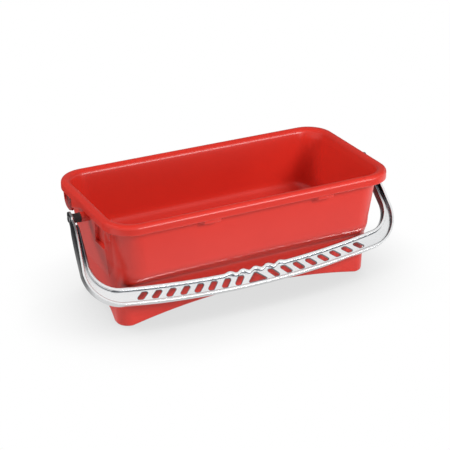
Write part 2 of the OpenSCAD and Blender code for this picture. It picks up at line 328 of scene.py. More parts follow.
class NodeSheet:
    """Short ways to add nodes to one tree and link them."""

    def __init__(self, tree: Tree) -> None:
        """Hold the tree that nodes are added to."""
        self.tree = tree

    def feed(self, target: Socket, value: object) -> None:
        """Link a socket, or a node's first output, to an input, or set the input to a value."""
        if isinstance(value, Node):
            value = value.outputs[0]
        if isinstance(value, Socket):
            self.tree.links.new(value, target)
        else:
            target.default_value = value

    def add(self, kind: str, inputs: dict | None = None, **settings: object) -> Node:
        """Add a node.

        Args:
            kind: Blender's name for the node.
            inputs: Node, socket or value for inputs, by their name or place.
            **settings: Properties of the node.

        Returns:
            The new node.
        """
        node = self.tree.nodes.new(kind)
        for key, value in settings.items():
            setattr(node, key, value)
        for key, value in (inputs or {}).items():
            self.feed(node.inputs[key], value)
        return node

    def math(self, operation: str, *values: object, clamp: bool = False) -> Socket:
        """Add a math node on sockets or numbers.

        Args:
            operation: Blender's name for the operation.
            *values: Its sockets or numbers.
            clamp: Whether the result is kept between 0 and 1.

        Returns:
            The result's socket.
        """
        inputs = dict(enumerate(values))
        return self.add("ShaderNodeMath", inputs, operation=operation, use_clamp=clamp).outputs[0]

    def xyz(self, **axes: object) -> Node:
        """Add a vector from numbers or sockets for X, Y and Z."""
        return self.add("ShaderNodeCombineXYZ", axes)

    def noise(self, scale: object, detail: float, roughness: float, place: Socket) -> Socket:
        """Add a noise texture.

        Args:
            scale: Socket or number for the scale.
            detail: Octaves of detail.
            roughness: How rough the octaves are.
            place: Coordinates.

        Returns:
            The noise value's socket.
        """
        inputs = {"Scale": scale, "Detail": detail, "Roughness": roughness, "Vector": place}
        return self.add("ShaderNodeTexNoise", inputs).outputs["Fac"]

    def ramp(self, value: Socket, low: float, high: float) -> Socket:
        """Map a value smoothly from low..high to 0..1."""
        inputs = {"Value": value, "From Min": low, "From Max": high}
        return self.add("ShaderNodeMapRange", inputs, interpolation_type="SMOOTHSTEP").outputs["Result"]

    def group(self, tree: Tree, **values: float) -> Socket:
        """Place a shared group and give its output."""
        return self.add("ShaderNodeGroup", values, label=tree.name, node_tree=tree).outputs[0]

    def mix(self, share: Socket, a: object, b: object) -> Socket:
        """Mix two colours or sockets by a share and give the colour's socket."""
        node = self.add("ShaderNodeMix", {"Factor": share}, data_type="RGBA")
        ends = [socket for socket in node.inputs if socket.type == "RGBA"]
        for socket, value in zip(ends, (a, b)):
            self.feed(socket, value if isinstance(value, Socket) else (*value, 1))
        return next(socket for socket in node.outputs if socket.type == "RGBA")


def bare_sheet(owner: Material | bpy.types.World) -> NodeSheet:
    """Sheet on the emptied node tree of a material or a world."""
    owner.use_nodes = True
    owner.node_tree.nodes.clear()
    return NodeSheet(owner.node_tree)


class ShaderGroup(NodeSheet):
    """A shader group with number inputs and one number as its result."""

    def __init__(self, name: str, result: str, **inputs: float) -> None:
        """Make the group with its sockets.

        Args:
            name: Name of the group.
            result: Name of its output.
            **inputs: Default of each input.
        """
        super().__init__(bpy.data.node_groups.new(name, "ShaderNodeTree"))
        face, number = self.tree.interface, "NodeSocketFloat"
        for key, value in inputs.items():
            face.new_socket(key, in_out="INPUT", socket_type=number).default_value = value
        face.new_socket(result, in_out="OUTPUT", socket_type=number)
        self.given = self.add("NodeGroupInput").outputs
        self.place = self.add("ShaderNodeTexCoord").outputs["Object"]

    def close(self, result: Socket) -> Tree:
        """End the group with its result."""
        self.add("NodeGroupOutput", {0: result})
        return self.tree

    def close_mask(self, a: Socket, b: Socket) -> Tree:
        """End the group with the product of two masks and its input Amount."""
        product = self.math("MULTIPLY", a, b)
        return self.close(self.math("MULTIPLY", product, self.given["Amount"], clamp=True))

    def corner_value(self, name: str) -> Socket:
        """Value of a corner attribute."""
        return self.add("ShaderNodeAttribute", attribute_name=name, attribute_type="GEOMETRY").outputs["Fac"]


class SharedEffects:
    """Shader groups built once and placed in each finish with its own values."""

    def __init__(self) -> None:
        """Build the groups."""
        self.drift = self.build_drift()
        self.scuffs = self.build_scuffs()
        self.grain = self.build_grain()
        self.wear = self.build_wear()
        self.shade = self.build_painted_shade()

    @staticmethod
    def build_drift() -> Tree:
        """Group whose value drifts slowly over the surface, for colour and gloss."""
        s = ShaderGroup("surface_drift", "Value", Scale=6.0)
        return s.close(s.ramp(s.noise(s.given["Scale"], 3.0, 0.55, s.place), 0.3, 0.7))

    @staticmethod
    def build_scuffs() -> Tree:
        """Group with a mask of fine rubbed lines and specks from use."""
        s = ShaderGroup("use_scuffs", "Mask", Scale=40.0, Amount=0.5)
        turned = s.add("ShaderNodeMapping", {
            "Vector": s.place, "Rotation": (0.4, 0.2, 0.7), "Scale": (0.12, 1.0, 2.6),
        }).outputs["Vector"]
        lines = s.ramp(s.noise(s.given["Scale"], 5.0, 0.6, turned), 0.61, 0.72)
        patch = s.ramp(s.noise(9.0, 2.0, 0.5, s.place), 0.45, 0.68)
        return s.close_mask(lines, patch)

    @staticmethod
    def build_grain() -> Tree:
        """Group with the height of a fine moulded grain over slow waves."""
        s = ShaderGroup("moulded_grain", "Height", Scale=700.0, Waves=0.4)
        fine = s.math("MULTIPLY", s.noise(s.given["Scale"], 2.0, 0.5, s.place), 0.12)
        slow = s.math("MULTIPLY", s.noise(14.0, 2.0, 0.45, s.place), s.given["Waves"])
        return s.close(s.math("ADD", fine, slow))

    @staticmethod
    def build_wear() -> Tree:
        """Group with a broken mask of wear along sharp edges."""
        s = ShaderGroup("edge_rub", "Mask", Amount=0.6)
        broken = s.ramp(s.noise(60.0, 4.0, 0.6, s.place), 0.38, 0.66)
        return s.close_mask(s.corner_value("edge_wear"), broken)

    @staticmethod
    def build_painted_shade() -> Tree:
        """Group with a mask of painted shade on faces that stand square to a piece's plane, a little uneven.
        """
        s = ShaderGroup("wall_tone", "Mask", Amount=0.8)
        uneven = s.math("MULTIPLY_ADD", s.noise(25.0, 3.0, 0.5, s.place), 0.3, 0.85)
        return s.close_mask(s.corner_value("wall_shade"), uneven)


class GeometrySheet(NodeSheet):
    """Short ways to build a geometry node tree that ends in a realized, dressed mesh."""

    def __init__(self, name: str, inputs: dict[str, tuple[str, object]]) -> None:
        """Make the tree and its named inputs.

        Args:
            name: Name of the tree.
            inputs: Socket type and value of each input.
        """
        super().__init__(bpy.data.node_groups.new(name, "GeometryNodeTree"))
        face, geometry = self.tree.interface, "NodeSocketGeometry"
        face.new_socket("Geometry", in_out="INPUT", socket_type=geometry)
        self.values = {}
        for key, (kind, value) in inputs.items():
            socket = face.new_socket(key, in_out="INPUT", socket_type=kind)
            self.values[socket.identifier] = value
        face.new_socket("Geometry", in_out="OUTPUT", socket_type=geometry)
        self.given = self.add("NodeGroupInput").outputs

    def join(self, *parts: Node | Socket) -> Node:
        """Join geometry, in the order given."""
        node = self.add("GeometryNodeJoinGeometry")
        for part in parts:
            self.feed(node.inputs[0], part)
        return node

    def run(self, obj: Obj, geometry: Node | Socket) -> None:
        """End the tree and keep what it makes of an object as the object's plain mesh.

        Args:
            obj: Object that the tree runs on.
            geometry: Result, which is realized and gets the material of the input Material.
        """
        real = self.add("GeometryNodeRealizeInstances", {0: geometry})
        paint = {"Geometry": real, "Material": self.given["Material"]}
        self.add("NodeGroupOutput", {0: self.add("GeometryNodeSetMaterial", paint)})
        step = obj.modifiers.new(self.tree.name, "NODES")
        step.node_group = self.tree
        for identifier, value in self.values.items():
            step[identifier] = value
        to_plain_mesh(obj)


# Finishes


@dataclass(frozen=True)
class Finish:
    """A surface: its colours, gloss and relief.

    Attributes:
        name: Name of the material.
        slot: Slot of the record that it stands for.
        color: Main colour, linear.
        drift_color: Colour that it drifts to.
        wear_color: Colour of rubbed edges and scuffs.
        roughness: Roughness where it is cleanest.
        roughness_drift: Rise of roughness over the surface.
        rub_roughness: Rise of roughness where it is rubbed.
        painted_shade_color: Colour of the shade painted on faces that stand square to the piece's plane and
            on the other places that the attribute wall_shade marks.
        painted_shade_amount: Strength of that painted shade.
        metallic: Metal share.
        ior: Index of refraction.
        drift_scale: Scale of the slow drift.
        scuff_amount: Strength of the scuffs.
        wear_amount: Strength of the edge wear.
        grain_scale: Scale of the fine grain.
        waves: Strength of the slow waves.
        bump: Depth of the relief, in metres.
    """

    name: str
    slot: Slot
    color: Place
    drift_color: Place
    wear_color: Place
    roughness: float
    roughness_drift: float
    rub_roughness: float = 0.18
    painted_shade_color: Place = (0.1, 0.1, 0.1)
    painted_shade_amount: float = 0.0
    metallic: float = 0.0
    ior: float = 1.5
    drift_scale: float = 6.0
    scuff_amount: float = 0.4
    wear_amount: float = 0.4
    grain_scale: float = 700.0
    waves: float = 0.4
    bump: float = 0.00012

    def build(self, effects: SharedEffects) -> Material:
        """Build the material.

        Args:
            effects: Shared shader groups.

        Returns:
            The new material.
        """
        material = bpy.data.materials.new(self.name)
        material.use_nodes = True
        material.diffuse_color = (*self.color, 1)
        s = NodeSheet(material.node_tree)
        drift = s.group(effects.drift, Scale=self.drift_scale)
        scuffs = s.group(effects.scuffs, Amount=self.scuff_amount)
        wear = s.group(effects.wear, Amount=self.wear_amount)
        grain = s.group(effects.grain, Scale=self.grain_scale, Waves=self.waves)
        rubbed = s.math("MAXIMUM", scuffs, wear, clamp=True)
        base = s.mix(drift, self.color, self.drift_color)
        # Painted shade: places marked in the attribute wall_shade are mixed towards a dark colour.
        if self.painted_shade_amount:
            base = s.mix(s.group(effects.shade, Amount=self.painted_shade_amount), base, self.painted_shade_color)
        rough = s.math("MULTIPLY_ADD", drift, self.roughness_drift, self.roughness)
        rise = s.math("MULTIPLY", rubbed, self.rub_roughness)
        relief = {"Strength": 1.0, "Distance": self.bump, "Height": grain}
        shader = material.node_tree.nodes["Principled BSDF"]
        for key, value in {
            "Metallic": self.metallic,
            "IOR": self.ior,
            "Base Color": s.mix(rubbed, base, self.wear_color),
            "Roughness": s.math("ADD", rough, rise, clamp=True),
            "Normal": s.add("ShaderNodeBump", relief, label="relief"),
        }.items():
            s.feed(shader.inputs[key], value)
        return material


RED_PLASTIC = Finish(
    "red_moulded_plastic", Slot.BUCKET, (0.66, 0.031, 0.019), (0.62, 0.027, 0.017), (0.72, 0.06, 0.042),
    roughness=0.28, roughness_drift=0.05, scuff_amount=0.08, wear_amount=0.25,
)
# The handle's dark wall colour is painted shade on its walls, slot rings, inner-edge groove and arm insides.
BRIGHT_SILVER = Finish(
    "bright_silver_handle", Slot.HANDLE, (0.83, 0.835, 0.84), (0.78, 0.79, 0.80), (0.85, 0.85, 0.86),
    roughness=0.2, roughness_drift=0.06, painted_shade_color=(0.13, 0.14, 0.16), painted_shade_amount=0.92, metallic=1.0,
    drift_scale=14.0, scuff_amount=0.3, wear_amount=0.3, grain_scale=900.0, waves=0.3, bump=0.00006,
)
PIN_STEEL = Finish(
    "pin_steel_turned", Slot.PIN, (0.36, 0.36, 0.38), (0.27, 0.27, 0.29), (0.62, 0.62, 0.63),
    roughness=0.28, roughness_drift=0.16, metallic=1.0, drift_scale=70.0, scuff_amount=0.6,
    wear_amount=0.7, grain_scale=1600.0, waves=0.1, bump=0.00006,
)
# The spacer is a real piece, made nearly black so that it stands in for the shade between the arm and the end
# panel.
SPACER_SHADE_BLACK = Finish(
    "spacer_black_nylon", Slot.SPACER, (0.02, 0.018, 0.018), (0.034, 0.03, 0.03), (0.09, 0.085, 0.085),
    roughness=0.48, roughness_drift=0.14, drift_scale=50.0, scuff_amount=0.5, wear_amount=0.6,
    grain_scale=1300.0, waves=0.2, bump=0.00008,
)


def dress(obj: Obj, material: Material, slot: Slot, body: str, *nodes: str) -> None:
    """Give a piece its finish and its body, and hide the CAD nodes that it replaces.

    Args:
        obj: Finished piece.
        material: Its material.
        slot: Slot of the record; not used.
        body: Body that it rides on.
        *nodes: CAD nodes that it replaces.
    """
    obj.data.materials.clear()
    obj.data.materials.append(material)
    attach(obj, body)
    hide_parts(*nodes)
    log.info("%s: %d faces, rides on %s", obj.name, len(obj.data.polygons), body)


# Bucket

# Places of points along half an end, closer at the edges of the pockets and the ears
END_STEPS = [
    0, 3, 5.4, 9, 12, 18, 24, 29, 30.2, 31, 31.8, 36, 39.9, 40.4, 44, 48, 54, 60, 64.2, 65, 65.8, 68,
    69.2, 70.2, 71.5,
]
SIDE_STEPS, CORNER_STEPS = 61, 14
# Heights of the loops outside the tub, closer at the edges of the panel and the pockets
TUB_HEIGHTS = [
    182, 178, 176, 174, 172.2, 170.6, 168.5, 164, 158, 152, 146, 140, 134, 129, 126.2, 124.8, 123.4,
    119, 114, 109,
]


@dataclass
class Bucket:
    """The moulded bucket: rim, tub, stepped base with arched feet, and end details. Sizes in millimetres."""

    rim_half: Point = (248.0, 125.0)
    rim_r: float = 45.0
    rim_h: float = 190.0
    rim_edge: float = 6.5
    lip_r: float = 8.0
    under_r: float = 2.0
    skirt_h: float = 16.0
    skirt_out_r: float = 1.2
    skirt_in_r: float = 0.8
    wall: float = 3.0
    tub_top: Point = (236.0, 113.0)
    tub_low: Point = (224.0, 110.0)
    tub_top_z: float = 188.5
    tub_r: float = 40.0
    turn_z: float = 105.04
    turn_r: float = 25.0
    turn_end: float = 45.48
    turn_in_z: float = 66.0
    turn_in_ease: float = 1.25
    base_top: Point = (225.0, 85.0)
    base_low: Point = (223.0, 83.0)
    base_z: float = 70.0
    base_r: float = 20.0
    base_in_r: float = 22.5
    floor_h: float = 38.0
    floor_r: float = 9.0
    floor_mid_r: float = 12.0
    floor_crown: float = 0.3
    foot_t: float = 6.0
    foot_out_r: float = 3.0
    foot_in_r: float = 1.0
    foot_roof_r: float = 4.0
    foot_blend: Point = (4.5, 40.0)
    side_arch: Point = (202.0, 21.0)
    end_arch: Point = (56.0, 25.0)
    panel_x: float = 240.0
    panel_lean: float = 8.5
    panel_fade: Point = (0.955, 0.985)
    panel_top: Point = (173.0, 177.0)
    pocket_y: Point = (31.0, 65.0)
    pocket_z: Point = (125.0, 171.0)
    pocket_soft: Point = (0.8, 1.0)
    pocket_d: float = 6.0
    pocket_slide: float = 0.4
    ear_front: float = 6.0
    ear_back: float = 45.0
    ear_drop: float = 14.0
    apron_y: float = 100.0
    apron_front: float = 152.0
    apron_slant: float = 16.0
    apron_low: float = 122.0
    apron_insets: Point = (2.4, 5.4)
    apron_lean: float = 1.6
    boss_r: float = 8.0
    boss_end: float = 251.7
    boss_root: float = 231.0
    boss_edge: float = 1.2
    bore_r: float = 4.0
    bore_deep: float = 16.0
    bore_lead: float = 0.5
    pivot_z: float = 163.0
    lug_l: float = 27.0
    lug_h: float = 6.0
    lug_sunk: float = 2.0
    lug_deep: float = 11.8
    lug_edge: float = 0.9
    lug_spread: float = 0.6
    lug_out: float = 123.0
    lug_x: Point = (-84.0, 116.0)

    def __post_init__(self) -> None:
        """Work out where points lie round a loop, the same for every level.

        A point lies at reach times the half sizes without the corner, plus bend times the corner's radius.
        """
        ends = np.array([-y for y in END_STEPS[:0:-1]] + END_STEPS) / END_STEPS[-1]
        sides = np.linspace(-1, 1, SIDE_STEPS)
        turns = np.linspace(0, math.pi / 2, CORNER_STEPS + 1)[1:-1]
        reach, bend, across = [], [], []
        for q, out in enumerate(((1, 0), (0, 1), (-1, 0), (0, -1))):
            out = np.array(out)
            left = np.array((-out[1], out[0]))
            along = sides if q % 2 else ends
            a = turns + q * math.pi / 2
            reach += [out + u * left for u in along] + [out + left] * len(a)
            bend += [out] * len(along) + list(zip(np.cos(a), np.sin(a)))
            across += [math.inf if q % 2 else abs(u) for u in along] + [math.inf] * len(a)
        self.reach, self.bend, self.across = np.array(reach), np.array(bend), np.array(across)

    def loop(self, half: Point, r: float) -> np.ndarray:
        """Points of a rounded rectangle, with the ends and sides divided alike at every level.

        Args:
            half: Half sizes along X and Y.
            r: Corner radius.

        Returns:
            Array of X and Y.
        """
        return self.reach * (np.array(half) - r) + self.bend * r

    def ring(self, half: Point, r: float, z: np.ndarray | float, inset: float = 0.0) -> np.ndarray:
        """A loop at a height, drawn in by an inset."""
        xy = self.loop((half[0] - inset, half[1] - inset), r - inset)
        return np.column_stack([xy, np.broadcast_to(z, len(xy))])

    def tub_level(self, z: float) -> Point:
        """Half sizes of the tub's outside at a height above its turn."""
        return between(self.tub_top, self.tub_low, (self.tub_top_z - z) / (self.tub_top_z - self.turn_z))

    def turn_level(self, angle: float) -> tuple[Point, float, float]:
        """Half sizes, corner radius and height of the outside as it turns under, at an angle in degrees."""
        a = math.radians(angle)
        half_y = self.tub_low[1] - self.turn_r * (1 - math.cos(a))
        share = (self.tub_low[1] - half_y) / (self.tub_low[1] - self.base_top[1])
        half_x = self.tub_low[0] + (self.base_top[0] - self.tub_low[0]) * share
        r = self.tub_r + (self.base_r - self.tub_r) * share
        return (half_x, half_y), r, self.turn_z - self.turn_r * math.sin(a)

    def base_level(self, z: float) -> Point:
        """Half sizes of the base's outside at a height."""
        return between(self.base_low, self.base_top, z / self.base_z)

    def foot_z(self, xy: np.ndarray) -> np.ndarray:
        """Height of the arched lower edge at points of a loop."""
        out = np.zeros(len(xy))
        for axis, (chord, rise) in enumerate((self.side_arch, self.end_arch)):
            r = (chord**2 + rise**2) / (2 * rise)
            at = np.abs(xy[:, axis])
            lift = rise - r + np.sqrt(np.maximum(r**2 - at**2, 0))
            out = np.maximum(out, np.where(at < chord, lift, 0))
        return out

    def raise_panel(self, ring: np.ndarray) -> np.ndarray:
        """Push the ends of an outside loop out to the leaning panel, and its front pocket in and back."""
        x, y, z = ring.T
        far, wide = np.abs(x), np.abs(y)
        low, high = self.pocket_z
        soft_y, soft_z = self.pocket_soft
        front = y < 0
        sunk = plateau(self.pocket_y, soft_y, wide) * plateau(self.pocket_z, soft_z, z) * front
        lean = math.tan(math.radians(self.panel_lean))
        plane = self.panel_x - (self.rim_h - self.skirt_h - z) * lean
        target = np.maximum(plane - self.pocket_d * sunk, far)
        share = (1 - smoothstep(*self.panel_fade, self.across)) * (1 - smoothstep(*self.panel_top, z))
        slide = self.pocket_slide * np.clip(high - z, 0, high - low)
        hold = np.minimum(wide / self.pocket_y[0], 1)
        hold = hold * (1 - smoothstep(self.pocket_y[1] + soft_y, END_STEPS[-1], wide))
        hold = hold * (front & np.isfinite(self.across))
        return np.column_stack([
            np.copysign(far + (target - far) * share, x), y - np.copysign(slide * hold, y), z,
        ])

    def skirt_low(self) -> np.ndarray:
        """Height of the skirt's lower edge round the rim, lower at the ears behind the pivots."""
        x, y = self.loop(self.rim_half, self.rim_r).T
        share = (y - self.ear_front) / (self.ear_back - self.ear_front)
        ear = (np.abs(x) > self.rim_half[0] - 1) & (share > 0) & (share <= 1)
        return self.rim_h - self.skirt_h - np.where(ear, self.ear_drop * share, 0.0)

    def inside_rings(self) -> list[np.ndarray]:
        """Loops from the bucket's floor up the inside to the lip."""
        wall, up = self.wall, self.wall / 2
        floor_z = self.floor_h + wall
        half = self.base_level(floor_z)
        rings = [
            self.ring(half, self.floor_mid_r + inset, floor_z + self.floor_crown, inset)
            for inset in (60.0, 30.0)
        ]
        levels = [(floor_z + rise, wall + out) for out, rise in quarter(self.floor_r, np.linspace(0, 90, 7))]
        for z, inset in levels + [(54, wall), (60, wall)]:
            rings.append(self.ring(self.base_level(z), self.base_in_r, z, inset))
        low = self.base_level(self.turn_in_z)
        half, r, top = self.turn_level(self.turn_end)
        for t in np.linspace(0, 1, 5):
            z = self.turn_in_z + (top - self.turn_in_z) * t
            mid = between(low, half, t**self.turn_in_ease)
            rings.append(self.ring(mid, self.base_in_r * (1 - t) + r * t, z + up, wall))
        for angle in (38, 30, 22, 15, 8, 0):
            half, r, z = self.turn_level(angle)
            rings.append(self.ring(half, r, z + up, wall))
        for z in (112, 124, 136, 148, 160, 170, 178):
            rings.append(self.ring(self.tub_level(z), self.tub_r, z, wall))
        return rings

    def rim_rings(self) -> list[np.ndarray]:
        """Loops over the rounded rim, down its skirt and back up inside it."""
        wall, top, under = self.wall, self.rim_h, self.rim_h - self.wall
        rim = (self.rim_half, self.rim_r)
        tub = (self.tub_level(top), self.tub_r)
        rings = [self.ring(*tub, top - d, wall - i) for d, i in quarter(self.lip_r, np.linspace(0, 90, 7))]
        rings += [self.ring(*rim, top - d, i) for d, i in quarter(self.rim_edge, np.linspace(90, 0, 9))]
        low = self.skirt_low()
        start = top - self.rim_edge
        rings += [self.ring(*rim, start + (low + self.skirt_out_r - start) * t) for t in (0.35, 0.7)]
        rings += [self.ring(*rim, low + d, i) for d, i in quarter(self.skirt_out_r, ROUND)]
        rings += [self.ring(*rim, low + d, wall - i) for d, i in quarter(self.skirt_in_r, (90, 45, 0))]
        rings += [self.ring(*rim, under - d, wall + i) for d, i in quarter(self.under_r, ROUND)]
        tub = (self.tub_level(under), self.tub_r)
        return rings + [self.ring(*tub, under - d, -i) for d, i in quarter(self.under_r, ROUND[::-1])]

    def outside_rings(self) -> list[np.ndarray]:
        """Loops down the outside with its panels, round the feet and up inside them."""
        levels = [(self.tub_level(z), self.tub_r, z) for z in TUB_HEIGHTS]
        levels += [self.turn_level(angle) for angle in np.linspace(0, self.turn_end, 9)]
        half, r, low = levels[-1]
        for t in (0.3, 0.6, 0.82, 0.95):
            mid = between(half, self.base_top, t)
            levels.append((mid, r + (self.base_r - r) * t, low + (self.base_z - low) * t))
        levels += [(self.base_level(z), self.base_r, z) for z in (67.5, 63, 57, 50, 44)]
        rings = [self.raise_panel(self.ring(*level)) for level in levels]
        foot, inner = self.foot_ring, self.foot_t
        rings += [foot(h, 0.0) for h in (40, 34, 28, 22, 16, 11, 7, 4.5)]
        rings += [foot(d, i) for d, i in quarter(self.foot_out_r, (0, 25, 50, 70, 90))]
        rings += [foot(d, inner - i) for d, i in quarter(self.foot_in_r, (90, 45, 0))]
        rings += [foot(h, inner) for h in (6, 14, 24, 33)]
        base = (self.base_low, self.base_r)
        rings += [self.ring(*base, self.floor_h - d, inner + i) for d, i in quarter(self.foot_roof_r, ROUND)]
        return rings

    def foot_ring(self, height: float, inset: float) -> np.ndarray:
        """Loop of the base at a height above its arched lower edge, level again at the top of the blend."""
        near, full = self.foot_blend
        low = self.foot_z(self.loop(self.base_low, self.base_r))
        above = max(height - near, 0.0) / (full - near)
        z = low + min(height, near) + (full - low - near) * above
        ring = self.ring(self.base_low, self.base_r, z, inset)
        if not inset:
            grow = (self.base_top[0] - self.base_low[0]) * z / self.base_z
            ring[:, :2] *= 1 + (grow / np.hypot(ring[:, 0], ring[:, 1]))[:, None]
        return ring

    def bosses(self) -> list[Obj]:
        """Boss with a blind bore for the pin at each end."""
        r, end, bore, edge, lead = self.boss_r, self.boss_end, self.bore_r, self.boss_edge, self.bore_lead
        cut = 0.35
        profile = [
            (AXIS, self.boss_root), (r, self.boss_root), (r, end - edge), (r - cut, end - cut),
            (r - edge, end), (bore + lead, end), (bore, end - lead), (bore, end - self.bore_deep),
            (AXIS, end - self.bore_deep),
        ]
        return [lathe("boss", profile, side, self.pivot_z) for side in Side]

    def aprons(self) -> list[Obj]:
        """Band inside the skirt round each back corner."""
        faces = []
        for inset in self.apron_insets:
            r = self.rim_r - inset
            centre = np.array(self.rim_half) - self.rim_r
            turn = np.linspace(math.asin((self.apron_y - centre[1]) / r), math.pi / 2, 15)
            faces.append(centre + r * np.column_stack([np.cos(turn), np.sin(turn)]))
        back = np.clip((faces[0][:, 1] - self.apron_y) / self.apron_slant, 0, 1)
        low = self.apron_front + (self.apron_low - self.apron_front) * back
        made = []
        for side in Side:
            loops = []
            for share in (0.0, 0.35, 0.7, 1.0):
                outer, inner = (face + self.apron_lean * share**2 * sideways(face) for face in faces)
                z = self.tub_top_z + (low - self.tub_top_z) * share
                loop = np.concatenate([outer, inner[::-1]]) * (side.value, 1)
                loops.append(np.column_stack([loop, np.concatenate([z, z[::-1]])]))
            made.append(loft("apron", loops))
        return made

    def lugs(self, material: Material) -> Obj:
        """Small lugs under the skirt, wider at their root, placed on points by a node tree."""
        half, deep = self.lug_l / 2, self.lug_deep
        top = (half, deep, self.lug_h + self.lug_sunk)
        shape = rounded_box("lug_shape", (-half, 0, 0), top, self.lug_edge)
        for v in shape.data.vertices:
            v.co.x *= 1 + self.lug_spread * v.co.y / (deep * MM)
        low = self.rim_h - self.skirt_h - self.lug_h
        points = [(s * x, -s * self.lug_out, low) for s in (1, -1) for x in self.lug_x]
        return LugRow(shape, points, material).build()

    def build(self, material: Material) -> Obj:
        """Build the bucket as one closed mesh.

        Args:
            material: Material that its node tree sets.

        Returns:
            The bucket's object.
        """
        body = loft("bucket_moulding", self.inside_rings() + self.rim_rings() + self.outside_rings())
        combine(body, self.bosses(), Join.UNION)
        combine(body, [*self.aprons(), self.lugs(material)], Join.UNION)
        finish_surface(body)
        return body


@dataclass
class LugRow:
    """Copies of one lug on points, turned to face outwards."""

    shape: Obj
    points: list[Place]
    material: Material

    def build(self) -> Obj:
        """Build the lugs as one object.

        Returns:
            The object, in the frame of the bucket.
        """
        mesh = bpy.data.meshes.new("rim_lugs")
        mesh.from_pydata([tuple(c * MM for c in p) for p in self.points], [], [])
        obj = add_object("rim_lugs", mesh)
        s = GeometrySheet("lug_row", {
            "Lug": ("NodeSocketObject", self.shape),
            "Material": ("NodeSocketMaterial", self.material),
        })
        lug = s.add("GeometryNodeObjectInfo", {"Object": s.given["Lug"]}).outputs["Geometry"]
        split = s.add("ShaderNodeSeparateXYZ", {0: s.add("GeometryNodeInputPosition")})
        behind = s.math("GREATER_THAN", split.outputs["Y"], 0.0)
        turn = s.xyz(Z=s.math("MULTIPLY", behind, math.pi))
        s.run(obj, s.add("GeometryNodeInstanceOnPoints", {
            "Points": s.given["Geometry"], "Instance": lug, "Rotation": turn,
        }))
        bpy.data.objects.remove(self.shape)
        return obj


# Handle

# Points along half the bar, along a bend, and along each leg of an arm
BAR_STEPS, BEND_STEPS, ARM_STEPS = 181, 40, 12
# Distances of the web's points from the inner edge and from the strap, the width that they fit, and the
# least width
WEB_NEAR = np.array([0, 2.2, 2.8, 3.4, 3.5])
WEB_FAR = np.array([2.4, 2.3, 2.2, 2.1, 2.0, 1.7, 0])
WEB_FULL, WEB_LEAST = 11.0, 1e-3


